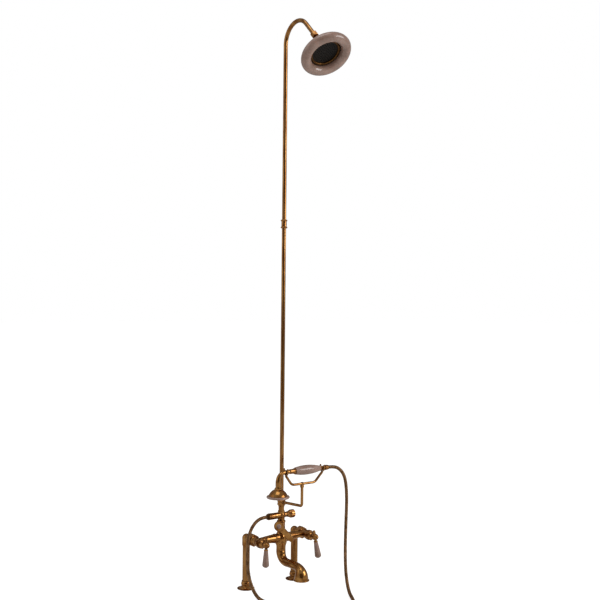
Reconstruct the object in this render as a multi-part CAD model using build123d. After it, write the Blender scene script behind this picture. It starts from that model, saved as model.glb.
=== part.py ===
from build123d import *
import os
from math import asin, cos, pi, radians, sin, sqrt, tan

# Bath shower mixer that stands on the deck of a bath: two legs, a cast body with two lever
# valves and a curved spout, a diverter, a hand shower in a cradle on its hose, and a tall riser
# with an overhead shower head. Millimetres. +X is the user's right, -Y is the front, +Z is up.
# The origin lies on the deck, midway between the two legs.

# Layout and clearances
leg_spacing = 177.8
bar_height = 152.4
bar_forward = 55.0
running_gap = 0.05
press_gap = 0.02
seat_gap = 0.3
turning_gap = 1.0
overrun = 3.0

# Legs, deck flanges and shanks
leg_radius = 11.0
leg_bore = 8.0
shank_radius = 10.48
shank_bore = 6.5
shank_drop = 60.0
shank_spigot = 12.0
shank_chamfer = 1.0
flange_radius = 26.0
flange_edge = 1.8
flange_height = 6.6
flange_collar = 14.4
base_nut_radius = 13.0
base_nut_bead = 14.4
base_nut_height = 17.0
base_nut_lip = 3.0

# Elbows and unions
elbow_radius = 12.6
elbow_drop = 22.0
elbow_socket = 12.0
union_tail_radius = 11.0
union_tail_end = 33.0
union_flange_radius = 14.0
union_flange_thickness = 4.0
union_washer_thickness = 2.0
union_nut_start = 26.0
union_nut_length = 19.0
union_nut_flats = 33.0
union_nut_lip = 2.6
union_nut_crown = 18.4
union_nut_bevel = 2.0

# Cast body: valve bodies, cross bar and upright barrel
valve_neck_radius = 12.3
valve_neck_start = 48.0
valve_neck_length = 15.0
valve_mouth_radius = 15.2
valve_mouth_start = 74.0
valve_mouth_end = 80.0
valve_cavity_radius = 10.2
valve_cavity_depth = 30.0
inlet_bore = 6.4
bar_centre_radius = 13.4
bar_end_radius = 9.0
bar_bore = 4.6
bar_bead_radius = 14.6
bar_bead_width = 5.0
bar_bead_place = 21.0
barrel_bulge_radius = 18.0
barrel_radius = 12.2
barrel_lip_radius = 13.6
barrel_lip_height = 5.0
barrel_rise = 51.6
barrel_shoulder = 17.0
barrel_foot_radius = 14.6
barrel_foot_drop = 24.0
barrel_bore = 7.0
barrel_socket_depth = 4.5

# Spout
spout_radii = [14.6, 14.4, 13.6, 12.6, 12.0, 12.0, 13.2, 17.0, 19.8, 22.3]
spout_wall = 2.4
spout_reach = 106.0
spout_level = 84.0
spout_bend_radius = 28.0
spout_turn_radius = 24.0
spout_mouth_drop = 12.0
spout_lip_height = 2.8
spout_lip_reach = 1.4
spout_lip_edge = 0.6
spout_lip_blend = 1.4
spout_bend_angles = (0, 35, 70)
spout_turn_angles = (30, 62, 90)

# Valve tops and inner pieces
bonnet_flats = 27.0
bonnet_hex_length = 8.0
bonnet_crown = 15.2
bonnet_neck_length = 7.0
bonnet_tip_radius = 7.6
bonnet_bevel = 1.0
bonnet_spigot = 8.0
cartridge_bore = 7.4
cartridge_guide = 5.0
cartridge_window = 4.4
disc_thickness = 1.6
disc_radius = 8.4
disc_port_radius = 2.0
disc_port_place = 5.0
disc_ports = 2
spindle_radius = 4.0
spindle_stop = 1.25

# Lever handles
lever_lean = 6.6
lever_tilt = 8.0
hub_gap = 1.4
hub_radius = 10.0
hub_back = 10.6
hub_front = 9.4
hub_back_radius = 7.8
hub_front_radius = 6.6
rod_radius = 4.25
rod_rise = 20.0
rod_drop = 16.0
rod_tenon_radius = 2.6
rod_tenon_length = 30.0
ferrule_radius = 6.6
ferrule_edge = 5.6
ferrule_height = 4.0
porcelain_top_radius = 6.2
porcelain_end_radius = 10.2
porcelain_length = 48.0
porcelain_round = 7.0
cap_screw_radius = 5.4
cap_screw_dome = 3.4
cap_screw_shank_radius = 2.6
cap_screw_shank = 4.0

# Diverter
diverter_rise = 40.6
diverter_yaw = 46.0
diverter_boss_radius = 9.4
diverter_boss_reach = 19.0
diverter_cavity_radius = 6.2
diverter_cavity_depth = 13.0
diverter_bonnet_radius = 11.8
diverter_bonnet_tip = 9.0
diverter_bonnet_height = 6.0
diverter_spindle_radius = 3.2
diverter_spindle_grip = 4.0
diverter_cartridge_length = 8.0
diverter_disc_radius = 15.6
diverter_disc_thickness = 8.5
diverter_disc_round = 2.2
diverter_arm_length = 60.0
diverter_arm_root = 9.0
diverter_arm_tip = 7.6
diverter_arm_thickness = 6.0
diverter_button_radius = 7.4
diverter_button_seat = 1.6
diverter_button_rise = 3.4
diverter_rest_angle = -45.0

# Transfer tee above the diverter
tee_stand = 16.0
tee_radius = 10.6
tee_ball_radius = 12.4
tee_half_height = 13.0
tee_spigot = 4.0
tee_spigot_radius = 7.6
tee_left_boss_radius = 9.4
tee_left_boss_reach = 15.0
tee_thread_radius = 7.4
tee_thread_length = 13.0
tee_right_boss_radius = 8.6
tee_right_boss_reach = 13.0
tee_cavity_radius = 5.6
gland_radius = 6.8
gland_length = 5.0
gland_spigot = 9.0
transfer_spindle_radius = 2.6
knob_length = 28.0
knob_neck_radius = 8.0
knob_middle_radius = 9.4
knob_radius = 12.4
knob_flute_count = 8
knob_flute_radius = 3.4
knob_flute_depth = 1.0
knob_dome = 2.4
knob_bore_depth = 16.0

# Column, cradle collar, riser and coupling
neck_radius = 8.7
neck_height = 18.0
neck_bore = 4.2
neck_flare_radius = 11.0
column_tube_radius = 7.6
collar_radius = 12.4
collar_height = 15.0
collar_groove = 0.8
riser_radius = 6.35
riser_wall = 1.0
riser_socket = 10.0
coupling_height = 1098.5
coupling_half_length = 13.0
coupling_radius = 8.0
coupling_ring_radius = 10.2
coupling_ring_height = 5.0
coupling_stop = 1.5

# Gooseneck
gooseneck_start = 1638.0
gooseneck_radius = 60.0
gooseneck_turn = 135.0
gooseneck_run = 62.0

# Overhead shower head
head_drop_angle = 52.5
arm_nut_length = 17.0
arm_nut_flats = 19.0
arm_nut_crown = 11.0
ball_radius = 9.0
ball_stem_radius = 4.0
ball_offset = 24.0
socket_gap = 0.08
socket_lip = 5.5
socket_radius = 12.4
socket_length = 16.0
dome_start = 14.0
dome_throat_radius = 14.0
dome_radius = 44.0
dome_depth = 32.0
dome_wall = 1.6
dome_flange_radius = 51.0
dome_flange = 2.0
porcelain_ring_radius = 76.0
porcelain_ring_bore = 46.6
porcelain_ring_depth = 28.0
porcelain_ring_seat = 9.0
bezel_radius = 46.2
bezel_bore = 38.0
bezel_depth = 11.0
bezel_lip = 2.0
head_plate_radius = 39.4
head_plate_inset = 2.6
head_plate_thickness = 3.0
nozzle_radius = 1.5
nozzle_rings = 3
nozzle_ring_step = 10.5
nozzles_per_ring = 6

# Cradle for the hand shower
cradle_reach = 105.0
cradle_arm_rise = 9.0
cradle_arm_lift = 6.0
cradle_rod_radius = 4.25
cradle_bend_radius = 8.0
cradle_foot_radius = 5.6
cradle_foot_length = 4.0
cradle_knob_radius = 5.9
cradle_knob_height = 11.0
cradle_knob_dome = 1.6
yoke_drop = 39.5
yoke_radius = 3.7
yoke_left_base = -37.0
yoke_right_base = 46.0
yoke_bend_radius = 18.0
fork_left_stand = 10.0
fork_right_stand = 9.0
fork_radius = 2.5
fork_rise = 8.0

# Hand shower
handset_stand = 105.0
grip_start = -25.6
grip_length = 90.0
grip_start_radius = 10.2
grip_middle = 6.0
grip_middle_radius = 14.0
grip_end_radius = 7.4
grip_bore = 4.6
front_ferrule_radius = 7.2
front_ferrule_length = 17.0
front_ferrule_taper = 4.0
front_collar_length = 5.4
front_collar_radius = 8.8
handset_neck_radii = [6.0, 6.0, 6.2, 6.8, 7.6, 8.4]
handset_neck_wall = 1.4
handset_neck_run = 13.0
handset_bend_radius = 24.0
handset_bend_angles = (0, 30, 60, 90)
bell_drop = 47.0
bell_step_radius = 10.6
bell_step_height = 4.0
bell_dome_radius = 28.0
bell_dome_height = 18.5
bell_wall = 1.8
bell_rim_radius = 33.6
bell_rim_height = 7.0
bell_rim_bore = 24.0
bell_plate_thickness = 2.4
bell_hole_radius = 1.1
bell_hole_rings = 2
bell_hole_ring_step = 8.0
bell_holes_per_ring = 6
core_radius = 4.5
core_bore = 3.2
tail_radius = 8.2
tail_bead = 5.0
tail_neck_radius = 6.0
tail_neck_length = 13.6
tail_thread_radius = 5.4
tail_thread_length = 7.0

# Shower hose and its end fittings
hose_diameter = 10.5
hose_water_radius = 3.6
hose_clear = 0.1
hose_nut_gap = 0.6
hose_nut_length = 31.0
hose_nut_radius = 9.4
hose_nut_flare = 10.2
hose_nut_grooves = 2
hose_nut_groove = 0.8
hose_nut_groove_step = 3.2
hose_ferrule_radius = 8.4
hose_ferrule_length = 5.0
end_nut_length = 8.7
end_nut_radius = 8.0
end_nut_flare = 7.2
end_ferrule_length = 3.0
end_ferrule_radius = 6.6
bend_share = 0.45
coil_radius = 66.0
coil_centre_x = -57.0
coil_centre_y = -362.0
coil_start_angle = 180.0
coil_turn = 495.0
coil_step = 90.0
coil_climb_start = 165.0
coil_climb_turn = 165.0
coil_layer = 11.1
coil_samples = 160

# Shares: how far across and how far along a round stretch passes between its two ends
flange_hollow_share = (0.5, 0.3)
dome_bulge_share = (0.6, 0.4)
bell_bulge_share = (0.62, 0.42)
neck_flare_share = (0.25, 0.5)

# Places that follow from the sizes
leg_x = leg_spacing / 2
bar_y = -bar_forward
cradle_y = bar_y - cradle_reach
valve_start = union_tail_end + union_washer_thickness
union_nut_end = union_nut_start + union_nut_length
bonnet_hex_end = valve_mouth_end + bonnet_hex_length
bonnet_end = bonnet_hex_end + bonnet_neck_length
lever_forward = bonnet_end + hub_gap + hub_back
spindle_end = lever_forward - rod_radius - spindle_stop
barrel_foot = bar_height - barrel_foot_drop
barrel_top = bar_height + barrel_rise
diverter_height = bar_height + diverter_rise
tee_height = barrel_top + tee_stand
diverter_disc_start = diverter_boss_reach + diverter_bonnet_height + turning_gap
diverter_disc_end = diverter_disc_start + diverter_disc_thickness
diverter_axis = (-sin(radians(diverter_yaw)), -cos(radians(diverter_yaw)), 0)
diverter_side = (cos(radians(diverter_yaw)), -sin(radians(diverter_yaw)), 0)
tee_thread_reach = tee_left_boss_reach + tee_thread_length
knob_start = tee_right_boss_reach + gland_length + turning_gap
knob_end = knob_start + knob_length
neck_low = tee_height + tee_half_height
collar_low = neck_low + neck_height
collar_high = collar_low + collar_height
riser_start = collar_high - riser_socket
cradle_arm_start = collar_low + cradle_arm_rise
cradle_arm_height = cradle_arm_start + cradle_arm_lift
handset_height = collar_high + handset_stand
ring_back = dome_start + dome_depth + dome_flange
bezel_end = ring_back + bezel_depth
yoke_height = handset_height - yoke_drop
front_collar_start = grip_start - front_collar_length
front_ferrule_start = front_collar_start - front_ferrule_length
grip_end = grip_start + grip_length
tail_bead_end = grip_end + tail_bead
tail_neck_end = tail_bead_end + tail_neck_length
tail_thread_end = tail_neck_end + tail_thread_length
handset_pipe_radius = handset_neck_radii[0]
fork_left = front_ferrule_start - fork_left_stand
fork_right = tail_neck_end - fork_right_stand
bell_centre = front_ferrule_start - handset_neck_run - handset_bend_radius
bell_top = handset_height - bell_drop
bell_dome_bottom = bell_top - bell_dome_height
hose_radius = hose_diameter / 2
hose_level = hose_radius + hose_clear
hose_nut_start = tee_left_boss_reach + hose_nut_gap
hose_nut_end = hose_nut_start + hose_nut_length
end_nut_start = tail_neck_end + seat_gap
end_nut_end = end_nut_start + end_nut_length
up = (0, 0, 1)
down = (0, 0, -1)
front = (0, -1, 0)
left = (-1, 0, 0)
right = (1, 0, 0)


def outline(*stops):
    """Closed face: each stop is a point, or a pair (point on the arc, point) for a round stretch."""
    edges = []
    here = stops[0]
    for stop in stops[1:]:
        if isinstance(stop[0], tuple):
            edges.append(ThreePointArc(here, stop[0], stop[1]))
            here = stop[1]
        else:
            edges.append(Line(here, stop))
            here = stop
    edges.append(Line(here, stops[0]))
    return make_face(edges)


def turned(origin, axis, *stops):
    """Solid of revolution from (radius, distance along the axis) stops."""
    side = right if axis[2] else up
    body = revolve(Plane.XZ * outline(*stops), Axis.Z)
    return Plane(origin=origin, x_dir=Vector(*side).cross(Vector(*axis)), z_dir=axis) * body


def cap(radius, base, height):
    """Round stretch from the rim of a spherical cap to its pole on the axis."""
    sphere = (radius ** 2 + height ** 2) / (2 * height)
    half = asin(max(-1, min(1, radius / sphere))) / 2
    return (sphere * sin(half), base + height - sphere * (1 - cos(half))), (0, base + height)


def between(start, end, share):
    """Point on the way from start to end, at one share of the way across and one along."""
    return start[0] + (end[0] - start[0]) * share[0], start[1] + (end[1] - start[1]) * share[1]


def across(origin, axis, start):
    """Plane square to an axis at a distance from its origin."""
    return Plane(origin=Vector(*origin) + Vector(*axis).normalized() * start, z_dir=axis)


def rod(origin, axis, start, end, radius):
    """Plain round bar between two distances along an axis."""
    return across(origin, axis, start) * extrude(Circle(radius), end - start)


def pipe(origin, axis, start, end, radius, bore):
    """Plain tube between two distances along an axis."""
    return across(origin, axis, start) * extrude(Circle(radius) - Circle(bore), end - start)


def hexagon(origin, axis, start, end, flats, crown, bevel, bore):
    """Hexagon nut with its corners turned off at both ends."""
    corner = flats / sqrt(3)
    prism = across(origin, axis, start) * extrude(RegularPolygon(corner, 6), end - start)
    crowned = turned(origin, axis, (bore, start), (crown - bevel, start), (crown, start + bevel),
                     (crown, end - bevel), (crown - bevel, end), (bore, end))
    return prism & crowned


def ring_of_holes(origin, axis, radius, count, hole_radius, start, end):
    """Round holes on a circle about an axis, as one tool."""
    spots = PolarLocations(radius, count)
    holes = Sketch() + [spot * Circle(hole_radius) for spot in spots]
    return across(origin, axis, start) * extrude(holes, end - start)


def lofted_pipe(stations, radii):
    """Round pipe of changing radius through stations of (x, y, z, direction)."""
    rings = [Plane(origin=(x, y, z), z_dir=way) * Circle(radius)
             for (x, y, z, way), radius in zip(stations, radii)]
    return loft(rings)


def save(name, solid):
    solid.label = name
    export_step(solid, f"parts/{name}.step")


# Legs: shank below the deck, flange, base nut and tube

def leg_pieces(x):
    foot = (x, 0, 0)
    leg_top = bar_height - elbow_drop + elbow_socket
    spigot = leg_bore - running_gap
    shank = turned(foot, up, (shank_bore, -shank_drop), (shank_radius - shank_chamfer, -shank_drop),
                   (shank_radius, shank_chamfer - shank_drop), (shank_radius, 0), (spigot, 0),
                   (spigot, shank_spigot), (shank_bore, shank_spigot))
    bore = leg_radius + press_gap
    rim = (flange_radius, flange_edge)
    top = (flange_collar, flange_height)
    flange = turned(foot, up, (bore, 0), (flange_radius, 0), rim,
                    (between(rim, top, flange_hollow_share), top), (bore, flange_height))
    nut_top = flange_height + base_nut_height
    bead_low = flange_height + base_nut_lip
    bead_high = nut_top - base_nut_lip
    nut = turned(foot, up, (bore, flange_height), (base_nut_radius, flange_height),
                 (base_nut_radius, bead_low),
                 ((base_nut_bead, (bead_low + bead_high) / 2), (base_nut_radius, bead_high)),
                 (base_nut_radius, nut_top), (bore, nut_top))
    tube = pipe(foot, up, 0, leg_top, leg_radius, leg_bore)
    return {"leg_shanks": shank, "deck_flanges": flange, "leg_base_nuts": nut, "leg_tubes": tube}


# Elbow from a leg to its union, and the union's nut and washer

def union_pieces(x):
    corner = (x, 0, bar_height)
    flange_start = union_tail_end - union_flange_thickness
    elbow = rod(corner, up, -elbow_drop, 0, elbow_radius) + Pos(*corner) * Sphere(elbow_radius)
    elbow += turned(corner, front, (0, 0), (union_tail_radius, 0), (union_tail_radius, flange_start),
                    (union_flange_radius, flange_start), (union_flange_radius, union_tail_end),
                    (0, union_tail_end))
    elbow -= rod(corner, up, -elbow_drop - overrun, 0, leg_bore)
    elbow -= Pos(*corner) * Sphere(leg_bore)
    elbow -= rod(corner, front, 0, union_tail_end + overrun, leg_bore)
    elbow -= rod(corner, up, -elbow_drop - overrun, elbow_socket - elbow_drop, leg_radius + press_gap)
    nut = hexagon(corner, front, union_nut_start, union_nut_end, union_nut_flats, union_nut_crown,
                  union_nut_bevel, union_tail_radius + seat_gap)
    nut -= rod(corner, front, union_nut_start + union_nut_lip, union_nut_end + overrun,
               union_flange_radius + seat_gap)
    washer = pipe(corner, front, union_tail_end, valve_start, union_flange_radius, leg_bore)
    return {"elbows": elbow, "union_nuts": nut, "union_washers": washer}


# Cast body

def mixer_body():
    centre = (0, bar_y, 0)
    middle = (0, bar_y, bar_height)
    diverter_centre = (0, bar_y, diverter_height)
    bead_end = bar_bead_place + bar_bead_width
    bead_crest = (bar_bead_radius, (bar_bead_place + bead_end) / 2)
    lip = barrel_top - barrel_lip_height
    body = turned(centre, up, (0, barrel_foot), (barrel_foot_radius, barrel_foot),
                  ((barrel_bulge_radius, bar_height), (barrel_radius, bar_height + barrel_shoulder)),
                  (barrel_radius, lip),
                  ((barrel_lip_radius, lip + barrel_lip_height / 2), (barrel_radius, barrel_top)),
                  (0, barrel_top))
    for way in (left, right):
        body += turned(middle, way, (0, 0), (bar_centre_radius, 0), (bar_centre_radius, bar_bead_place),
                       (bead_crest, (bar_centre_radius, bead_end)),
                       (bar_end_radius, leg_x - valve_neck_radius), (bar_end_radius, leg_x), (0, leg_x))
    for x in (-leg_x, leg_x):
        body += turned((x, 0, bar_height), front, (0, valve_start), (union_flange_radius, valve_start),
                       (union_flange_radius, union_nut_end), (valve_neck_radius, valve_neck_start),
                       (valve_neck_radius, valve_neck_start + valve_neck_length),
                       (valve_mouth_radius, valve_mouth_start), (valve_mouth_radius, valve_mouth_end),
                       (0, valve_mouth_end))
    body += rod(diverter_centre, diverter_axis, 0, diverter_boss_reach, diverter_boss_radius)
    body -= rod(middle, right, -leg_x, leg_x, bar_bore)
    for x in (-leg_x, leg_x):
        body -= rod((x, 0, bar_height), front, valve_start - overrun, valve_mouth_end, inlet_bore)
        body -= rod((x, 0, bar_height), front, valve_mouth_end - valve_cavity_depth,
                    valve_mouth_end + overrun, valve_cavity_radius)
    socket_floor = barrel_top - barrel_socket_depth
    body -= rod(centre, up, barrel_foot - overrun, socket_floor, barrel_bore)
    body -= rod(centre, up, socket_floor, barrel_top + overrun, tee_spigot_radius + running_gap)
    body -= rod(diverter_centre, diverter_axis, diverter_boss_reach - diverter_cavity_depth,
                diverter_boss_reach + overrun, diverter_cavity_radius)
    return body


# Spout: one curved pipe that drops, runs forward and turns down into a flared mouth

def spout_stations():
    bend = spout_bend_radius
    turn = spout_turn_radius
    bend_y = bar_y - bend
    turn_y = bar_y - spout_reach + turn
    turn_z = spout_level - turn
    level_run = bend_y - turn_y
    stations = [(0, bar_y, barrel_foot, down)]
    for angle in spout_bend_angles:
        a = radians(angle)
        stations.append((0, bend_y + bend * cos(a), spout_level + bend * (1 - sin(a)),
                         (0, -sin(a), -cos(a))))
    stations.append((0, bend_y - level_run / 3, spout_level, front))
    stations.append((0, turn_y + level_run / 4, spout_level, front))
    for angle in spout_turn_angles:
        a = radians(angle)
        stations.append((0, turn_y - turn * sin(a), turn_z + turn * cos(a), (0, -cos(a), -sin(a))))
    stations.append((0, bar_y - spout_reach, turn_z - spout_mouth_drop, down))
    return stations


def spout():
    stations = spout_stations()
    mouth = stations[-1][:3]
    mouth_radius = spout_radii[-1]
    mouth_bore = mouth_radius - spout_wall
    outer = lofted_pipe(stations, spout_radii)
    inner = lofted_pipe(stations, [radius - spout_wall for radius in spout_radii])
    lip_edge = mouth_radius + spout_lip_edge
    lip = turned(mouth, up, (mouth_bore - spout_lip_edge, 0), (lip_edge, 0),
                 ((mouth_radius + spout_lip_reach, spout_lip_height / 2), (lip_edge, spout_lip_height)),
                 (mouth_radius - spout_lip_blend, spout_lip_height + spout_lip_blend),
                 (mouth_bore - spout_lip_edge, spout_lip_height + spout_lip_blend))
    return outer + lip - inner


# Valve tops and their inner pieces

def valve_pieces(x):
    axis_point = (x, 0, bar_height)
    shaft_hole = spindle_radius + running_gap
    spigot = valve_cavity_radius - running_gap
    disc_start = valve_mouth_end - valve_cavity_depth
    disc_end = disc_start + disc_thickness
    cartridge_start = disc_end + disc_thickness
    cartridge_end = valve_mouth_end - bonnet_spigot
    shoulder = bonnet_tip_radius + bonnet_bevel
    bonnet = hexagon(axis_point, front, valve_mouth_end, bonnet_hex_end, bonnet_flats, bonnet_crown,
                     bonnet_bevel, shaft_hole)
    bonnet += turned(axis_point, front, (shaft_hole, bonnet_hex_end),
                     (bonnet_flats / 2 - bonnet_bevel, bonnet_hex_end),
                     ((shoulder, bonnet_end - bonnet_bevel * 2), (bonnet_tip_radius, bonnet_end)),
                     (shaft_hole, bonnet_end))
    bonnet += pipe(axis_point, front, cartridge_end, valve_mouth_end, spigot, shaft_hole)
    guide = cartridge_end - cartridge_guide
    cartridge = turned(axis_point, front, (cartridge_bore, cartridge_start), (spigot, cartridge_start),
                       (spigot, cartridge_end), (shaft_hole, cartridge_end), (shaft_hole, guide),
                       (cartridge_bore, guide))
    cartridge -= rod((x, bar_y, bar_height), right, -valve_mouth_radius, valve_mouth_radius,
                     cartridge_window)
    disc = rod(axis_point, front, disc_start, disc_end, disc_radius)
    disc -= ring_of_holes(axis_point, front, disc_port_place, disc_ports, disc_port_radius,
                          disc_start - overrun, disc_end + overrun)
    spindle = rod(axis_point, front, disc_end + press_gap, spindle_end, spindle_radius)
    spindle += rod(axis_point, front, disc_end + press_gap, cartridge_start - press_gap, disc_radius)
    return {"valve_bonnets": bonnet, "valve_cartridges": cartridge, "valve_discs": disc}, spindle


# Lever handle: hub on the spindle, cross rod with its ferrule, porcelain and cap screw

def lever_pieces(x):
    side = -1 if x < 0 else 1
    axis_point = (x, 0, bar_height)
    place = Pos(x, -lever_forward, bar_height) * Rot(0, -side * lever_lean, 0) * Rot(-lever_tilt, 0, 0)
    middle = (0, 0, 0)
    top = -rod_drop
    tenon_end = top - rod_tenon_length
    ferrule_top = top + ferrule_height
    round_start = rod_rise - rod_radius
    upright = turned(middle, up, (0, tenon_end), (rod_tenon_radius, tenon_end), (rod_tenon_radius, top),
                     (ferrule_edge, top),
                     ((ferrule_radius, (top + ferrule_top) / 2), (ferrule_edge, ferrule_top)),
                     (rod_radius, ferrule_top), (rod_radius, round_start),
                     cap(rod_radius, round_start, rod_radius))
    hub_start = lever_forward - hub_back
    tip = lever_forward + hub_front
    screw_start = tip - cap_screw_shank
    hub = turned(axis_point, front, (0, hub_start), (hub_back_radius, hub_start),
                 ((hub_radius, lever_forward), (hub_front_radius, tip)), (0, tip))
    hub -= place * rod(middle, up, top, rod_rise, rod_radius + press_gap)
    hub -= rod(axis_point, front, hub_start - overrun, spindle_end + press_gap,
               spindle_radius + press_gap)
    hub -= rod(axis_point, front, screw_start - press_gap, tip + overrun,
               cap_screw_shank_radius + press_gap)
    end = top - porcelain_length
    round_middle, pole = cap(porcelain_end_radius, end + porcelain_round, -porcelain_round)
    porcelain = turned(middle, up, pole, (round_middle, (porcelain_end_radius, end + porcelain_round)),
                       (porcelain_top_radius, top), (0, top))
    porcelain -= rod(middle, up, tenon_end - press_gap, top + overrun, rod_tenon_radius + press_gap)
    screw = turned(axis_point, front, (0, screw_start), (cap_screw_shank_radius, screw_start),
                   (cap_screw_shank_radius, tip), (cap_screw_radius, tip),
                   cap(cap_screw_radius, tip, cap_screw_dome))
    return {"lever_hub": hub, "lever_rod": place * upright, "lever_porcelain": place * porcelain,
            "lever_cap_screw": screw}


# Diverter: bonnet and cartridge in the boss, spindle, lever and porcelain button

def diverter_pieces():
    centre = (0, bar_y, diverter_height)
    axis = diverter_axis
    boss_end = diverter_boss_reach
    bonnet_tip = boss_end + diverter_bonnet_height
    bonnet_edge = boss_end + diverter_bonnet_height / 2
    cavity_start = boss_end - diverter_cavity_depth
    cartridge_end = cavity_start + diverter_cartridge_length
    shaft_hole = diverter_spindle_radius + running_gap
    spigot = diverter_cavity_radius - running_gap
    bonnet = turned(centre, axis, (shaft_hole, cartridge_end), (spigot, cartridge_end), (spigot, boss_end),
                    (diverter_bonnet_radius, boss_end), (diverter_bonnet_radius, bonnet_edge),
                    (diverter_bonnet_tip, bonnet_tip), (shaft_hole, bonnet_tip))
    cartridge = pipe(centre, axis, cavity_start, cartridge_end, spigot, shaft_hole)
    spindle_tip = diverter_disc_start + diverter_spindle_grip
    spindle = rod(centre, axis, cavity_start + press_gap, spindle_tip, diverter_spindle_radius)
    rounding = diverter_disc_round
    knee = rounding * (1 - cos(pi / 4))
    disc = turned(centre, axis, (0, diverter_disc_start), (diverter_disc_radius, diverter_disc_start),
                  (diverter_disc_radius, diverter_disc_end - rounding),
                  ((diverter_disc_radius - knee, diverter_disc_end - knee),
                   (diverter_disc_radius - rounding, diverter_disc_end)), (0, diverter_disc_end))
    tip = diverter_arm_length - diverter_arm_tip
    blade = outline((0, -diverter_arm_root), (tip, -diverter_arm_tip),
                    ((diverter_arm_length, 0), (tip, diverter_arm_tip)), (0, diverter_arm_root))
    arm_low = (diverter_disc_start + diverter_disc_end - diverter_arm_thickness) / 2
    arm = Pos(0, 0, arm_low) * extrude(blade, diverter_arm_thickness)
    arm = fillet(arm.edges().filter_by(GeomType.CIRCLE), rounding / 2)
    face = Plane(origin=centre, x_dir=diverter_side, z_dir=axis)
    lever = disc + face * Rot(0, 0, diverter_rest_angle) * arm
    seat = diverter_disc_end - diverter_button_seat
    lever -= rod(centre, axis, seat, diverter_disc_end + overrun, diverter_button_radius + press_gap)
    lever -= rod(centre, axis, diverter_disc_start - overrun, spindle_tip + press_gap,
                 diverter_spindle_radius + press_gap)
    button = turned(centre, axis, (0, seat), (diverter_button_radius, seat),
                    (diverter_button_radius, diverter_disc_end),
                    cap(diverter_button_radius, diverter_disc_end, diverter_button_rise))
    return {"diverter_bonnet": bonnet, "diverter_cartridge": cartridge, "diverter_spindle": spindle,
            "diverter_lever": lever, "diverter_button": button}


# Transfer tee with its gland and fluted knob

def transfer_pieces():
    centre = (0, bar_y, tee_height)
    low = barrel_top - tee_height
    tee = rod(centre, up, low, tee_half_height, tee_radius) + Pos(*centre) * Sphere(tee_ball_radius)
    tee += rod(centre, up, low - tee_spigot, low, tee_spigot_radius)
    tee += rod(centre, left, 0, tee_left_boss_reach, tee_left_boss_radius)
    tee += rod(centre, left, 0, tee_thread_reach, tee_thread_radius)
    tee += rod(centre, right, 0, tee_right_boss_reach, tee_right_boss_radius)
    tee -= rod(centre, left, -tee_right_boss_reach - overrun, tee_thread_reach + overrun,
               tee_cavity_radius)
    tee -= rod(centre, up, low - tee_spigot - overrun, tee_half_height + overrun, tee_cavity_radius)
    gland_start = tee_right_boss_reach - gland_spigot
    gland_end = tee_right_boss_reach + gland_length
    shaft_hole = transfer_spindle_radius + running_gap
    gland = pipe(centre, right, gland_start, tee_right_boss_reach, tee_cavity_radius - running_gap,
                 shaft_hole)
    gland += pipe(centre, right, tee_right_boss_reach, gland_end, gland_radius, shaft_hole)
    bore_end = knob_start + knob_bore_depth
    spindle = rod(centre, right, gland_start, bore_end, transfer_spindle_radius)
    flare = (knob_start + knob_end) / 2
    knob = turned(centre, right, (0, knob_start), (knob_neck_radius, knob_start),
                  ((knob_middle_radius, (knob_start + flare) / 2), (knob_radius, flare)),
                  (knob_radius, knob_end - knob_dome), cap(knob_radius, knob_end - knob_dome, knob_dome))
    knob -= ring_of_holes(centre, right, knob_radius + knob_flute_radius - knob_flute_depth,
                          knob_flute_count, knob_flute_radius, flare - knob_dome, knob_end + overrun)
    knob -= rod(centre, right, knob_start - overrun, bore_end + press_gap,
                transfer_spindle_radius + press_gap)
    return {"transfer_tee": tee, "transfer_gland": gland, "transfer_spindle": spindle,
            "transfer_knob": knob}


# Column above the tee, cradle collar, riser and coupling

def column_pieces():
    centre = (0, bar_y, 0)
    water = riser_radius - riser_wall
    socket = riser_radius + press_gap
    spigot = tee_cavity_radius - running_gap
    waist = (neck_radius, neck_low + neck_height / 2)
    flare = (neck_flare_radius, collar_low)
    neck = turned(centre, up, (neck_bore, neck_low - tee_spigot), (spigot, neck_low - tee_spigot),
                  (spigot, neck_low), (neck_radius, neck_low), waist,
                  (between(waist, flare, neck_flare_share), flare), (column_tube_radius, collar_low),
                  (column_tube_radius, collar_high), (socket, collar_high), (socket, riser_start),
                  (neck_bore, riser_start))
    groove = collar_groove
    groove_low = collar_low + collar_height / 3
    groove_high = collar_high - collar_height / 3
    bore = column_tube_radius + press_gap
    collar = turned(centre, up, (bore, collar_low), (collar_radius, collar_low),
                    (collar_radius, groove_low), (collar_radius - groove, groove_low + groove),
                    (collar_radius - groove, groove_high - groove), (collar_radius, groove_high),
                    (collar_radius, collar_high - groove), (collar_radius - groove, collar_high),
                    (bore, collar_high))
    riser = pipe(centre, up, riser_start, coupling_height - coupling_stop, riser_radius, water)
    bottom = coupling_height - coupling_half_length
    top = coupling_height + coupling_half_length
    ring = coupling_ring_height
    coupling = turned(centre, up, (socket, bottom), (coupling_radius, bottom),
                      ((coupling_ring_radius, bottom + ring / 2), (coupling_radius, bottom + ring)),
                      (coupling_radius, top - ring),
                      ((coupling_ring_radius, top - ring / 2), (coupling_radius, top)), (socket, top),
                      (socket, coupling_height + coupling_stop), (water, coupling_height + coupling_stop),
                      (water, coupling_height - coupling_stop), (socket, coupling_height - coupling_stop))
    return {"column_neck": neck, "cradle_collar": collar, "riser_tube": riser, "riser_coupling": coupling}


# Gooseneck, its nut and the ball that carries the head

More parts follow.
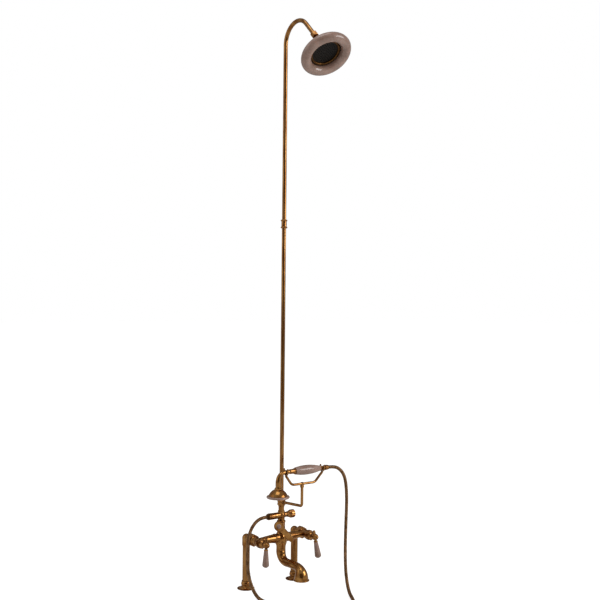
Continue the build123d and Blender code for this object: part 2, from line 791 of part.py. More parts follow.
arm_turn = radians(gooseneck_turn)
arm_way = (0, -sin(arm_turn), cos(arm_turn))
arm_bend_end = (0, bar_y - gooseneck_radius * (1 - cos(arm_turn)),
                gooseneck_start + gooseneck_radius * sin(arm_turn))
arm_end = tuple(Vector(*arm_bend_end) + Vector(*arm_way) * gooseneck_run)
ball_centre = tuple(Vector(*arm_end) + Vector(*arm_way) * ball_offset)
head_way = (0, -cos(radians(head_drop_angle)), -sin(radians(head_drop_angle)))


def gooseneck_pieces():
    start = (0, bar_y, coupling_height + coupling_stop)
    bend_start = (0, bar_y, gooseneck_start)
    bend_middle = (0, bar_y - gooseneck_radius * (1 - cos(arm_turn / 2)),
                   gooseneck_start + gooseneck_radius * sin(arm_turn / 2))
    route = Wire([Line(start, bend_start), ThreePointArc(bend_start, bend_middle, arm_bend_end),
                  Line(arm_bend_end, arm_end)])
    section = Circle(riser_radius) - Circle(riser_radius - riser_wall)
    tube = sweep(across(start, up, 0) * section, path=route)
    half = arm_nut_length / 2
    nut = hexagon(arm_end, arm_way, -half, half, arm_nut_flats, arm_nut_crown, bonnet_bevel,
                  ball_stem_radius + press_gap)
    nut -= rod(arm_end, arm_way, -arm_nut_length, press_gap, riser_radius + press_gap)
    ball = Pos(*ball_centre) * Sphere(ball_radius)
    ball += rod(arm_end, arm_way, press_gap * 2, ball_offset, ball_stem_radius)
    return {"gooseneck_tube": tube, "gooseneck_nut": nut, "head_ball": ball}


# Overhead head: socket on the ball, brass dome, porcelain ring, bezel and spray plate

def head_pieces():
    centre = ball_centre
    way = head_way
    bevel = union_nut_bevel
    wall = dome_wall
    socket = turned(centre, way, (0, -socket_lip), (socket_radius - bevel, -socket_lip),
                    (socket_radius, bevel - socket_lip), (socket_radius, socket_length),
                    (0, socket_length))
    socket -= Pos(*centre) * Sphere(ball_radius + socket_gap)
    throat = (dome_throat_radius, dome_start)
    rim = (dome_radius, dome_start + dome_depth)
    bulge = between(throat, rim, dome_bulge_share)
    inner_throat = (dome_throat_radius, dome_start + wall)
    inner_rim = (dome_radius - wall, rim[1])
    inner_bulge = (bulge[0] - wall, bulge[1] + wall)
    collar = socket_radius + press_gap
    dome = turned(centre, way, (collar, dome_start - wall), (dome_throat_radius, dome_start - wall),
                  throat, (bulge, rim), (dome_flange_radius, rim[1]), (dome_flange_radius, ring_back),
                  (inner_rim[0], ring_back), inner_rim, (inner_bulge, inner_throat),
                  (collar, inner_throat[1]))
    ring_front = ring_back + porcelain_ring_depth
    ring_middle = (ring_back + ring_front) / 2
    ring_crest = (porcelain_ring_bore + porcelain_ring_radius) / 2
    back_crest = (ring_crest + porcelain_ring_radius) / 2
    ring = turned(centre, way, (porcelain_ring_bore, ring_back), (dome_flange_radius, ring_back),
                  ((back_crest, ring_back + wall), (porcelain_ring_radius, ring_middle)),
                  ((ring_crest, ring_front), (porcelain_ring_bore, ring_back + porcelain_ring_seat)))
    plate_start = ring_back + head_plate_inset
    plate_end = plate_start + head_plate_thickness
    bead = (bezel_radius + bezel_bore) / 2
    plate_seat = head_plate_radius + press_gap
    bezel = turned(centre, way, (plate_seat, ring_back), (bezel_radius, ring_back),
                   (bezel_radius, bezel_end - bezel_lip),
                   ((bead, bezel_end), (bezel_bore, bezel_end - bezel_lip)),
                   (bezel_bore, plate_end + press_gap), (plate_seat, plate_end + press_gap))
    plate = rod(centre, way, plate_start, plate_end, head_plate_radius)
    for number in range(1, nozzle_rings + 1):
        plate -= ring_of_holes(centre, way, number * nozzle_ring_step, number * nozzles_per_ring,
                               nozzle_radius, plate_start - overrun, plate_end + overrun)
    return {"head_socket": socket, "head_dome": dome, "head_porcelain_ring": ring, "head_bezel": bezel,
            "head_spray_plate": plate}


# Cradle: arm from the collar, knob, yoke and its two forks

def fork_depth(held_radius):
    return held_radius + seat_gap + fork_radius


def fork(x, held_radius):
    """U of round wire, open at the top, that a pipe of held_radius rests in."""
    width = fork_depth(held_radius)
    top = handset_height + fork_rise
    near = cradle_y - width
    far = cradle_y + width
    path = Wire([Line((x, near, top), (x, near, handset_height)),
                 ThreePointArc((x, near, handset_height), (x, cradle_y, handset_height - width),
                               (x, far, handset_height)),
                 Line((x, far, handset_height), (x, far, top))])
    wire = sweep(across((x, near, top), down, 0) * Circle(fork_radius), path=path)
    for y in (near, far):
        wire += Pos(x, y, top) * Sphere(fork_radius)
    return wire


def cradle_pieces():
    knob_low = yoke_height - cradle_knob_height
    path = FilletPolyline((0, bar_y - column_tube_radius, cradle_arm_start),
                          (0, cradle_y, cradle_arm_height), (0, cradle_y, knob_low),
                          radius=cradle_bend_radius)
    arm = sweep(Plane(origin=path @ 0, z_dir=path % 0) * Circle(cradle_rod_radius), path=path)
    arm += rod((0, bar_y, cradle_arm_start), front, column_tube_radius,
               collar_radius + cradle_foot_length, cradle_foot_radius)
    arm -= rod((0, bar_y, 0), up, collar_low - overrun, collar_high + overrun, collar_radius + press_gap)
    knob = turned((0, cradle_y, 0), up, (0, knob_low), (cradle_knob_radius - collar_groove, knob_low),
                  (cradle_knob_radius, knob_low + collar_groove), (cradle_knob_radius, yoke_height),
                  cap(cradle_knob_radius, yoke_height, yoke_radius + cradle_knob_dome))
    knob -= rod((0, cradle_y, yoke_height), right, -cradle_knob_radius * 2, cradle_knob_radius * 2,
                yoke_radius + press_gap)
    left_foot = handset_height - fork_depth(handset_pipe_radius) - fork_radius
    right_foot = handset_height - fork_depth(tail_neck_radius) - fork_radius
    route = FilletPolyline((fork_left, cradle_y, left_foot), (yoke_left_base, cradle_y, yoke_height),
                           (yoke_right_base, cradle_y, yoke_height), (fork_right, cradle_y, right_foot),
                           radius=yoke_bend_radius)
    yoke = sweep(Plane(origin=route @ 0, z_dir=route % 0) * Circle(yoke_radius), path=route)
    yoke += fork(fork_left, handset_pipe_radius)
    yoke += fork(fork_right, tail_neck_radius)
    return {"cradle_arm": arm, "cradle_knob": knob, "cradle_yoke": yoke}


# Hand shower: neck, bell with porcelain rim, spray plate, ferrule, porcelain grip and tail

def handset_stations():
    bend = handset_bend_radius
    bend_x = bell_centre + bend
    stations = [(front_ferrule_start, cradle_y, handset_height, left)]
    for angle in handset_bend_angles:
        a = radians(angle)
        stations.append((bend_x - bend * sin(a), cradle_y, handset_height - bend * (1 - cos(a)),
                         (-cos(a), 0, -sin(a))))
    stations.append((bell_centre, cradle_y, bell_top + bell_step_height, down))
    return stations


def handset_pieces():
    stations = handset_stations()
    neck = lofted_pipe(stations, handset_neck_radii)
    neck -= lofted_pipe(stations, [radius - handset_neck_wall for radius in handset_neck_radii])
    bell_axis = (bell_centre, cradle_y, 0)
    step_top = bell_top + bell_step_height
    wall = bell_wall
    neck_end = handset_neck_radii[-1] - handset_neck_wall
    crown = (bell_step_radius, bell_top)
    skirt = (bell_dome_radius, bell_dome_bottom)
    bulge = between(crown, skirt, bell_bulge_share)
    bell = turned(bell_axis, up, (neck_end, step_top), (bell_step_radius, step_top), crown, (bulge, skirt),
                  (bell_dome_radius - wall, bell_dome_bottom),
                  ((bulge[0] - wall, bulge[1] - wall), (bell_step_radius - wall, bell_top - wall)),
                  (neck_end, bell_top - wall))
    rim_low = bell_dome_bottom - bell_rim_height
    rim_middle = (rim_low + bell_dome_bottom) / 2
    rim_edge = bell_rim_radius - bell_rim_height / 2
    rim = turned(bell_axis, up, (bell_rim_bore, rim_low), (rim_edge, rim_low),
                 ((bell_rim_radius, rim_middle), (rim_edge, bell_dome_bottom)),
                 (bell_rim_bore, bell_dome_bottom))
    plate_low = rim_middle - bell_plate_thickness
    plate = rod(bell_axis, up, plate_low, rim_middle, bell_rim_bore - press_gap)
    for number in range(1, bell_hole_rings + 1):
        plate -= ring_of_holes(bell_axis, up, number * bell_hole_ring_step, number * bell_holes_per_ring,
                               bell_hole_radius, plate_low - overrun, rim_middle + overrun)
    axis_point = (0, cradle_y, handset_height)
    core_seat = core_radius + press_gap
    collar_crest = (front_collar_radius, (front_collar_start + grip_start) / 2)
    ferrule = turned(axis_point, right, (core_seat, front_ferrule_start),
                     (handset_pipe_radius, front_ferrule_start),
                     (front_ferrule_radius, front_ferrule_start + front_ferrule_taper),
                     (front_ferrule_radius, front_collar_start),
                     (collar_crest, (front_ferrule_radius, grip_start)), (core_seat, grip_start))
    grip = turned(axis_point, right, (grip_bore, grip_start), (grip_start_radius, grip_start),
                  ((grip_middle_radius, grip_middle), (grip_end_radius, grip_end)), (grip_bore, grip_end))
    bead_crest = (tail_radius, (grip_end + tail_bead_end) / 2)
    tail = turned(axis_point, right, (core_bore, front_ferrule_start), (core_radius, front_ferrule_start),
                  (core_radius, grip_end), (grip_end_radius, grip_end),
                  (bead_crest, (tail_neck_radius, tail_bead_end)), (tail_neck_radius, tail_neck_end),
                  (tail_thread_radius, tail_neck_end), (tail_thread_radius, tail_thread_end),
                  (core_bore, tail_thread_end))
    return {"handset_neck": neck, "handset_bell": bell, "handset_rim": rim, "handset_spray_plate": plate,
            "handset_ferrule": ferrule, "handset_grip": grip, "handset_tail": tail}


# End fittings of the hose

def hose_fittings():
    tee = (0, bar_y, tee_height)
    hand = (0, cradle_y, handset_height)
    groove = hose_nut_groove
    thread = tee_thread_radius + running_gap
    water = hose_water_radius
    nut = turned(tee, left, (thread, hose_nut_start), (hose_nut_radius, hose_nut_start),
                 (hose_nut_flare, hose_nut_end), (water, hose_nut_end),
                 (water, tee_thread_reach + press_gap), (thread, tee_thread_reach + press_gap))
    for number in range(1, hose_nut_grooves + 1):
        place = hose_nut_end - number * hose_nut_groove_step
        nut -= pipe(tee, left, place - groove, place, hose_nut_flare + overrun, hose_nut_flare - groove)
    ferrule_end = hose_nut_end + hose_ferrule_length
    ferrule = turned(tee, left, (water, hose_nut_end), (hose_ferrule_radius, hose_nut_end),
                     (hose_ferrule_radius, ferrule_end - groove), (hose_ferrule_radius - groove, ferrule_end),
                     (water, ferrule_end))
    end_thread = tail_thread_radius + running_gap
    end_nut = turned(hand, right, (end_thread, end_nut_start), (end_nut_radius, end_nut_start),
                     (end_nut_flare, end_nut_end), (water, end_nut_end),
                     (water, tail_thread_end + press_gap), (end_thread, tail_thread_end + press_gap))
    end_ferrule = pipe(hand, right, end_nut_end, end_nut_end + end_ferrule_length, end_ferrule_radius, water)
    return {"hose_tee_nut": nut, "hose_tee_ferrule": ferrule, "hose_handset_nut": end_nut,
            "hose_handset_ferrule": end_ferrule}


# Shower hose: a stretch from the tee to the deck, a coil on the deck, a stretch to the hand shower

left_route = [
    (-51.6, -55, 220), (-68, -55, 220), (-83.4, -55, 215.3), (-96.7, -55, 206), (-109.5, -55, 189),
    (-118.5, -56, 164), (-123, -59, 127), (-125, -64, 86), (-124, -75, 43), (-123, -112, 5.35),
    (-122, -170, 5.35), (-122, -238, 5.35), (-123, -302, 5.35), (-123, -362, 5.35)]
right_route = [
    (-10.33, -408.67, 16.45), (28.56, -369.78, 16.45), (70, -323, 6.5), (104, -272, 5.35), (128, -224, 8),
    (145, -189, 44), (155, -172, 92), (161.5, -164, 150), (166.5, -160, 208), (168.5, -160, 260),
    (166.1, -160, 307.7), (157.9, -160, 340.7), (141.2, -160, 360.6), (119, -160, 371), (95, -160, 371)]


def tube_route(points):
    """Straight runs joined by arcs as large as the runs allow."""
    corners = [Vector(*point) for point in points]
    radii = []
    for before, corner, after in zip(corners, corners[1:], corners[2:]):
        half_turn = radians((corner - before).get_angle(after - corner)) / 2
        shorter = min((corner - before).length, (after - corner).length)
        radii.append(bend_share * shorter / tan(half_turn))
    return FilletPolyline(*points, radius=radii), radii


def hose_stretch(name, points):
    route, radii = tube_route(points)
    tube = sweep(Plane(origin=route @ 0, z_dir=route % 0) * Circle(hose_radius), path=route)
    expected = pi * hose_radius ** 2 * route.length
    print(name, "length", round(route.length, 1), "radii", [round(radius) for radius in radii],
          "volume share", round(tube.volume / expected, 4))
    return tube, route.length


def coil_point(turned_by):
    """Point and direction on the coil after a turn in degrees: it climbs one layer on the way."""
    angle = radians(coil_start_angle + turned_by)
    climbed = min(max((turned_by - coil_climb_start) / coil_climb_turn, 0), 1)
    height = coil_layer * (1 - cos(pi * climbed)) / 2
    slope = coil_layer * pi * sin(pi * climbed) / 2 / radians(coil_climb_turn)
    point = Vector(coil_centre_x + coil_radius * cos(angle), coil_centre_y + coil_radius * sin(angle),
                   hose_level + height)
    way = Vector(-coil_radius * sin(angle), coil_radius * cos(angle), slope).normalized()
    return point, way


def biarc(start, start_way, end, end_way):
    """Two arcs that leave the start and reach the end in the given directions."""
    gap = end - start
    ways = start_way + end_way
    spread = 4 - ways.dot(ways)
    reach = (sqrt(gap.dot(ways) ** 2 + spread * gap.dot(gap)) - gap.dot(ways)) / spread
    middle = (start + start_way * reach + end - end_way * reach) / 2
    first = TangentArc(start, middle, tangent=start_way)
    return [first, TangentArc(middle, end, tangent=first % 1)]


def hose_coil():
    arcs = []
    steps = round(coil_turn / coil_step)
    stops = [coil_point(number * coil_turn / steps) for number in range(steps + 1)]
    for (start, start_way), (end, end_way) in zip(stops, stops[1:]):
        arcs += biarc(start, start_way, end, end_way)
    path = Wire(arcs)
    tube = sweep(Plane(origin=stops[0][0], z_dir=stops[0][1]) * Circle(hose_radius), path=path)
    points = [path @ (number / coil_samples) for number in range(coil_samples + 1)]
    half_turn = round(coil_samples * 180 / coil_turn)
    nearest = min((one - other).length for number, one in enumerate(points)
                  for other in points[number + half_turn:])
    print("hose_coil length", round(path.length, 1), "least gap to itself",
          round(nearest - hose_diameter, 2), "start", stops[0][0], "end", stops[-1][0])
    return tube, path.length


os.makedirs("parts", exist_ok=True)
pairs = {}
for side, x in (("hot", -leg_x), ("cold", leg_x)):
    valve, spindle = valve_pieces(x)
    save(f"{side}_spindle", spindle)
    for name, solid in lever_pieces(x).items():
        save(f"{side}_{name}", solid)
    for name, solid in {**leg_pieces(x), **union_pieces(x), **valve}.items():
        pairs.setdefault(name, []).append(solid)
for name, solids in pairs.items():
    save(name, Compound(solids))
save("mixer_body", mixer_body())
save("spout", spout())
for pieces in (diverter_pieces(), transfer_pieces(), column_pieces(), gooseneck_pieces(), head_pieces(),
               cradle_pieces(), handset_pieces(), hose_fittings()):
    for name, solid in pieces.items():
        save(name, solid)
left_tube, left_length = hose_stretch("hose_left", left_route)
right_tube, right_length = hose_stretch("hose_right", right_route)
coil_tube, coil_length = hose_coil()
save("hose_left", left_tube)
save("hose_right", right_tube)
save("hose_coil", coil_tube)
print("hose length in all", round(left_length + coil_length + right_length, 1))
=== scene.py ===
import math
import bpy
import bmesh
from mathutils import Matrix, Vector


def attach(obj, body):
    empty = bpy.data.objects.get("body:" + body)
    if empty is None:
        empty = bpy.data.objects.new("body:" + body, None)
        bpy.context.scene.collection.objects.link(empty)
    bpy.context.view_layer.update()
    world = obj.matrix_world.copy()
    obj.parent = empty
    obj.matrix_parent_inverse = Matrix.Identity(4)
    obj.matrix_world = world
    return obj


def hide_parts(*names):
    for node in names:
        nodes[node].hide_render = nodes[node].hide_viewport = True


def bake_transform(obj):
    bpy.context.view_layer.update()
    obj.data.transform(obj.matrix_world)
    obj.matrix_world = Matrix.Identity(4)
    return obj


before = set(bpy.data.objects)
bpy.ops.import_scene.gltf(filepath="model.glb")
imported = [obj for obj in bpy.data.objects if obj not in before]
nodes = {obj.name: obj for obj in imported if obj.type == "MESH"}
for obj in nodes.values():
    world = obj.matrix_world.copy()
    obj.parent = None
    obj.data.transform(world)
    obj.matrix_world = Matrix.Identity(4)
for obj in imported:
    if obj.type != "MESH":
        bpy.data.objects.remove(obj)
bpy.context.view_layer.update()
print("frame loaded:", len(nodes), "nodes")


def linearColor(hexColor):
    # sRGB hex to the linear values that Blender works in
    values = [int(hexColor[i:i + 2], 16) / 255 for i in (1, 3, 5)]
    linear = [v / 12.92 if v <= 0.04045 else ((v + 0.055) / 1.055) ** 2.4 for v in values]
    return (*linear, 1.0)


def addNode(tree, kind, inputs=None, **settings):
    # one node with its settings, its fixed values and its links
    node = tree.nodes.new(kind)
    for name, value in settings.items():
        setattr(node, name, value)
    for key, value in (inputs or {}).items():
        if isinstance(value, bpy.types.NodeSocket):
            tree.links.new(value, node.inputs[key])
        else:
            node.inputs[key].default_value = value
    return node


def newMaterial(name):
    material = bpy.data.materials.new(name)
    material.use_nodes = True
    material.node_tree.nodes.clear()
    return material, material.node_tree


def finishMaterial(material, shader):
    addNode(material.node_tree, "ShaderNodeOutputMaterial", {"Surface": shader})
    return material


def noiseAt(tree, place, millimetres, detail=3.0, roughness=0.55):
    # noise whose patches are about this many millimetres across
    return addNode(tree, "ShaderNodeTexNoise", {"Vector": place, "Scale": 1000 / millimetres,
                   "Detail": detail, "Roughness": roughness}).outputs["Fac"]


def spread(tree, value, low, high, outLow, outHigh):
    return addNode(tree, "ShaderNodeMapRange", {"Value": value, "From Min": low, "From Max": high,
                   "To Min": outLow, "To Max": outHigh}).outputs["Result"]


def mixed(tree, factor, first, second, mode="MIX"):
    node = addNode(tree, "ShaderNodeMix", data_type="RGBA", blend_type=mode)
    for index, value in ((0, factor), (6, first), (7, second)):
        if isinstance(value, bpy.types.NodeSocket):
            tree.links.new(value, node.inputs[index])
        else:
            node.inputs[index].default_value = value
    return node.outputs[2]


# camera at the photograph's place
cameraSettings = {"place": (-1.6361, -2.3975, 0.8680), "yaw": 35.942, "pitch": 0.03, "roll": 0.553,
                  "lens": 56.77, "sensor": 36.0, "near": 0.05, "far": 60}


def makeCamera(s):
    yaw, pitch, roll = (math.radians(s[key]) for key in ("yaw", "pitch", "roll"))
    ahead = Vector((math.sin(yaw) * math.cos(pitch), math.cos(yaw) * math.cos(pitch), math.sin(pitch)))
    level = Vector((math.cos(yaw), -math.sin(yaw), 0))
    above = level.cross(ahead)
    right = level * math.cos(roll) + above * math.sin(roll)
    up = above * math.cos(roll) - level * math.sin(roll)
    data = bpy.data.cameras.new("photoCamera")
    data.lens, data.sensor_width = s["lens"], s["sensor"]
    data.clip_start, data.clip_end = s["near"], s["far"]
    camera = bpy.data.objects.new("photoCamera", data)
    turn = Matrix((right, up, -ahead)).transposed().to_4x4()
    camera.matrix_world = Matrix.Translation(s["place"]) @ turn
    bpy.context.scene.collection.objects.link(camera)
    bpy.context.scene.camera = camera


makeCamera(cameraSettings)
print("camera ready")

# shower hose: one flexible tube from the tee, round its coil on the deck, up to the hand shower
hoseSettings = {"length": 1.748, "diameter": 0.0105, "ribPitch": 0.0034, "ribRings": 5,
                "grooveDepth": 0.0007, "grooveSharpness": 2.0, "sides": 16,
                "coilRadius": 0.066, "coilCentre": (-0.057, -0.362), "coilStart": 180, "coilTurn": 495,
                "coilSteps": 16, "climbStart": 165, "climbTurn": 165, "layer": 0.0111, "level": 0.00535}
hoseDown = [
    (-0.0516, -0.055, 0.22), (-0.068, -0.055, 0.22), (-0.0834, -0.055, 0.2153),
    (-0.0967, -0.055, 0.206), (-0.1095, -0.055, 0.189), (-0.1185, -0.056, 0.164),
    (-0.123, -0.059, 0.127), (-0.125, -0.064, 0.086), (-0.124, -0.075, 0.043),
    (-0.123, -0.112, 0.00535), (-0.122, -0.17, 0.00535), (-0.122, -0.238, 0.00535),
    (-0.123, -0.302, 0.00535)]
hoseUp = [
    (0.02856, -0.36978, 0.01645), (0.07, -0.323, 0.0065), (0.104, -0.272, 0.00535),
    (0.128, -0.224, 0.008), (0.145, -0.189, 0.044), (0.155, -0.172, 0.092), (0.1615, -0.164, 0.15),
    (0.1665, -0.16, 0.208), (0.1685, -0.16, 0.26), (0.1661, -0.16, 0.3077), (0.1579, -0.16, 0.3407),
    (0.1412, -0.16, 0.3606), (0.119, -0.16, 0.371), (0.095, -0.16, 0.371)]


def coilPoints(s):
    # control points outside the turn's own circle, so that the smooth line runs on it
    step = s["coilTurn"] / s["coilSteps"]
    reach = s["coilRadius"] / math.cos(math.radians(step / 2))
    points = []
    for number in range(s["coilSteps"]):
        turned = (number + 0.5) * step
        climbed = min(max((turned - s["climbStart"]) / s["climbTurn"], 0), 1)
        height = s["level"] + s["layer"] * (1 - math.cos(math.pi * climbed)) / 2
        angle = math.radians(s["coilStart"] + turned)
        points.append((s["coilCentre"][0] + reach * math.cos(angle),
                       s["coilCentre"][1] + reach * math.sin(angle), height))
    return points


def hoseLine(points):
    curve = bpy.data.curves.new("hoseLine", "CURVE")
    curve.dimensions = "3D"
    curve.resolution_u = 16
    spline = curve.splines.new("NURBS")
    spline.points.add(len(points) - 1)
    for point, place in zip(spline.points, points):
        point.co = (*place, 1)
    spline.order_u = 3
    spline.use_endpoint_u = True
    line = bpy.data.objects.new("hoseLine", curve)
    bpy.context.scene.collection.objects.link(line)
    return line


def asMesh(host, name, material=None):
    # the evaluated object as a plain mesh of its own, and the host is gone
    bpy.context.view_layer.update()
    evaluated = host.evaluated_get(bpy.context.evaluated_depsgraph_get())
    mesh = bpy.data.meshes.new_from_object(evaluated)
    mesh.name = name
    bpy.data.objects.remove(host)
    if material:
        mesh.materials.clear()
        mesh.materials.append(material)
        mesh.polygons.foreach_set("material_index", [0] * len(mesh.polygons))
    piece = bpy.data.objects.new(name, mesh)
    bpy.context.scene.collection.objects.link(piece)
    return piece


def newTree(name, sockets):
    tree = bpy.data.node_groups.new(name, "GeometryNodeTree")
    tree.interface.new_socket(name="Geometry", in_out="INPUT", socket_type="NodeSocketGeometry")
    for label, kind in sockets:
        tree.interface.new_socket(name=label, in_out="INPUT", socket_type=kind)
    tree.interface.new_socket(name="Geometry", in_out="OUTPUT", socket_type="NodeSocketGeometry")
    return tree, addNode(tree, "NodeGroupInput").outputs


def useTree(host, tree, values):
    modifier = host.modifiers.new(tree.name, "NODES")
    modifier.node_group = tree
    for item in tree.interface.items_tree:
        if item.in_out == "INPUT" and item.name in values:
            modifier[item.identifier] = values[item.name]
    return modifier


def mathNode(tree, operation, first, second=0.0):
    return addNode(tree, "ShaderNodeMath", {0: first, 1: second}, operation=operation).outputs[0]


def hoseTree(material, sharpness):
    # ribs of the interlocked strip: the tube's radius dips once every pitch
    tree, given = newTree("interlockedHose", [("Rib Pitch", "NodeSocketFloat"), ("Rings", "NodeSocketInt"),
                          ("Groove Depth", "NodeSocketFloat"), ("Radius", "NodeSocketFloat"),
                          ("Sides", "NodeSocketInt")])
    spacing = mathNode(tree, "DIVIDE", given["Rib Pitch"], given["Rings"])
    even = addNode(tree, "GeometryNodeResampleCurve", {"Curve": given["Geometry"], "Length": spacing},
                   mode="LENGTH")
    index = addNode(tree, "GeometryNodeInputIndex").outputs[0]
    share = mathNode(tree, "DIVIDE", index, given["Rings"])
    wave = mathNode(tree, "COSINE", mathNode(tree, "MULTIPLY", share, math.tau))
    raised = mathNode(tree, "MULTIPLY_ADD", wave, 0.5)
    raised.node.inputs[2].default_value = 0.5
    groove = mathNode(tree, "POWER", raised, sharpness)
    depth = mathNode(tree, "MULTIPLY", groove, given["Groove Depth"])
    radius = mathNode(tree, "SUBTRACT", given["Radius"], depth)
    marked = addNode(tree, "GeometryNodeStoreNamedAttribute", {"Geometry": even.outputs["Curve"],
                     "Name": "groove", "Value": groove}, data_type="FLOAT", domain="POINT")
    shaped = addNode(tree, "GeometryNodeSetCurveRadius", {"Curve": marked.outputs["Geometry"],
                     "Radius": radius})
    ring = addNode(tree, "GeometryNodeCurvePrimitiveCircle", {"Resolution": given["Sides"], "Radius": 1.0})
    tube = addNode(tree, "GeometryNodeCurveToMesh", {"Curve": shaped.outputs["Curve"],
                   "Profile Curve": ring.outputs["Curve"], "Fill Caps": True})
    if "Scale" in tube.inputs:
        tree.links.new(radius, tube.inputs["Scale"])
    smooth = addNode(tree, "GeometryNodeSetShadeSmooth", {"Geometry": tube.outputs["Mesh"]})
    real = addNode(tree, "GeometryNodeRealizeInstances", {"Geometry": smooth.outputs["Geometry"]})
    painted = addNode(tree, "GeometryNodeSetMaterial", {"Geometry": real.outputs["Geometry"],
                      "Material": material})
    addNode(tree, "NodeGroupOutput", {"Geometry": painted.outputs["Geometry"]})
    return tree


# brass: cast, drawn and turned pieces, polished once and then aged by air and water
everyBrass = {"patchDetail": 4.0, "mottleDetail": 2.0, "rippleDetail": 1.0, "ripple": 0.35,
              "patchEdges": (0.38, 0.64), "spotEdges": (0.52, 0.72), "polishEdges": (0.3, 0.7),
              "cornerMm": 7, "cornerSamples": 6, "cornerEdges": (0.35, 0.8), "hollowRoughness": 0.25,
              "edgeSamples": 4}


def brassMaterial(name, s, every=everyBrass):
    material, tree = newMaterial(name)
    place = addNode(tree, "ShaderNodeTexCoord").outputs["Object"]
    stretched = addNode(tree, "ShaderNodeMapping", {"Vector": place, "Scale": s["stretch"]}).outputs[0]
    patches = noiseAt(tree, stretched, s["patchMm"], detail=every["patchDetail"])
    mottle = noiseAt(tree, stretched, s["mottleMm"], detail=every["mottleDetail"])
    clouded = spread(tree, patches, *every["patchEdges"], 0.0, 1.0)
    base = mixed(tree, clouded, linearColor(s["worn"]), linearColor(s["bright"]))
    spotted = spread(tree, mottle, *every["spotEdges"], 0.0, s["spots"])
    base = mixed(tree, spotted, base, linearColor(s["tarnish"]))
    # tarnish stays where cloths don't reach: in corners, grooves and under nuts; this darkening follows
    # ambient occlusion, so it is partly painted shade
    hollow = addNode(tree, "ShaderNodeAmbientOcclusion", {"Distance": every["cornerMm"] / 1000},
                     samples=every["cornerSamples"]).outputs["AO"]
    hollowTarnishAndShade = spread(tree, hollow, *every["cornerEdges"], s["hollowTarnishAndShade"], 0.0)
    base = mixed(tree, hollowTarnishAndShade, base, linearColor(s["tarnish"]))
    rough = spread(tree, patches, *every["polishEdges"], s["roughest"], s["smoothest"])
    rough = mathNode(tree, "ADD", rough, mathNode(tree, "MULTIPLY", hollowTarnishAndShade, every["hollowRoughness"]))
    softEdge = addNode(tree, "ShaderNodeBevel", {"Radius": s["edgeMm"] / 1000},
                       samples=every["edgeSamples"]).outputs[0]
    ripple = noiseAt(tree, stretched, s["rippleMm"], detail=every["rippleDetail"])
    bump = addNode(tree, "ShaderNodeBump", {"Strength": every["ripple"],
                   "Distance": s["rippleHeightMm"] / 1000, "Height": ripple, "Normal": softEdge}).outputs[0]
    shader = addNode(tree, "ShaderNodeBsdfPrincipled", {"Base Color": base, "Metallic": 1.0,
                     "Roughness": rough, "Normal": bump})
    return finishMaterial(material, shader.outputs[0])


# the corner darkening amount in each finish is partly tarnish and partly painted shade
castBrassSettings = {"bright": "#BD8B4F", "worn": "#915D2E", "tarnish": "#3A2110", "patchMm": 20,
                     "mottleMm": 5.0, "spots": 0.25, "hollowTarnishAndShade": 0.9, "smoothest": 0.13, "roughest": 0.24,
                     "edgeMm": 0.7, "rippleMm": 7, "rippleHeightMm": 0.25, "stretch": (1, 1, 1)}
tubeBrassSettings = {"bright": "#B98850", "worn": "#8C5C30", "tarnish": "#402510", "patchMm": 14,
                     "mottleMm": 6.0, "spots": 0.14, "hollowTarnishAndShade": 0.85, "smoothest": 0.13, "roughest": 0.24,
                     "edgeMm": 0.4, "rippleMm": 9, "rippleHeightMm": 0.05, "stretch": (1, 1, 0.18)}
turnedBrassSettings = {"bright": "#BE8A50", "worn": "#8F5C30", "tarnish": "#3A2110", "patchMm": 10,
                       "mottleMm": 3.0, "spots": 0.3, "hollowTarnishAndShade": 0.95, "smoothest": 0.14, "roughest": 0.26,
                       "edgeMm": 0.4, "rippleMm": 3, "rippleHeightMm": 0.08, "stretch": (1, 1, 1)}
# a darker copy of the brass: tarnish on the hose ferrules, painted shade on the head bezel
darkBrassSettings = {"bright": "#6E4C29", "worn": "#4A3018", "tarnish": "#24170C", "patchMm": 5,
                     "mottleMm": 1.5, "spots": 0.6, "hollowTarnishAndShade": 0.9, "smoothest": 0.3, "roughest": 0.5,
                     "edgeMm": 0.4, "rippleMm": 2, "rippleHeightMm": 0.06, "stretch": (1, 1, 1)}
castBrass = brassMaterial("polishedCastBrass", castBrassSettings)  # slow waves from sand casting
tubeBrass = brassMaterial("drawnBrassTube", tubeBrassSettings)  # streaks along the drawing direction
turnedBrass = brassMaterial("turnedBrass", turnedBrassSettings)  # crisper, with dark grooves of tarnish and painted shade
darkBrass = brassMaterial("tarnishedAndShadedBrass", darkBrassSettings)  # left unpolished beside the hose; on the head bezel it is a painted reflection of dark surroundings

# glazed porcelain: a clear glossy coat over a warm grey-white body, with hair-fine crazing; its colours are
# set darker than that body, as painted shade
# the corner darkening set here is painted shade
porcelainSettings = {"pale": "#AC8C7E", "warm": "#917365", "craze": "#7D6A5E", "patchMm": 30,
                     "cloudEdges": (0.35, 0.65), "crazeMm": 9, "crazeLine": 0.035, "crazeShare": 0.35,
                     "crazeBend": 0.004, "fadeMm": 22, "fadeEdges": (0.45, 0.7), "cornerShade": "#6A5648",
                     "cornerShadeShare": 0.6, "cornerMm": 5, "cornerSamples": 6, "cornerEdges": (0.35, 0.75),
                     "glossMm": 6, "glossEdges": (0.3, 0.7), "smoothest": 0.2, "roughest": 0.32,
                     "glazeMm": 2.5, "glazeHeightMm": 0.2, "glaze": 0.12, "ior": 1.54, "glow": 0.06,
                     "glowMm": 4, "coat": 0.5, "coatRoughness": 0.06}


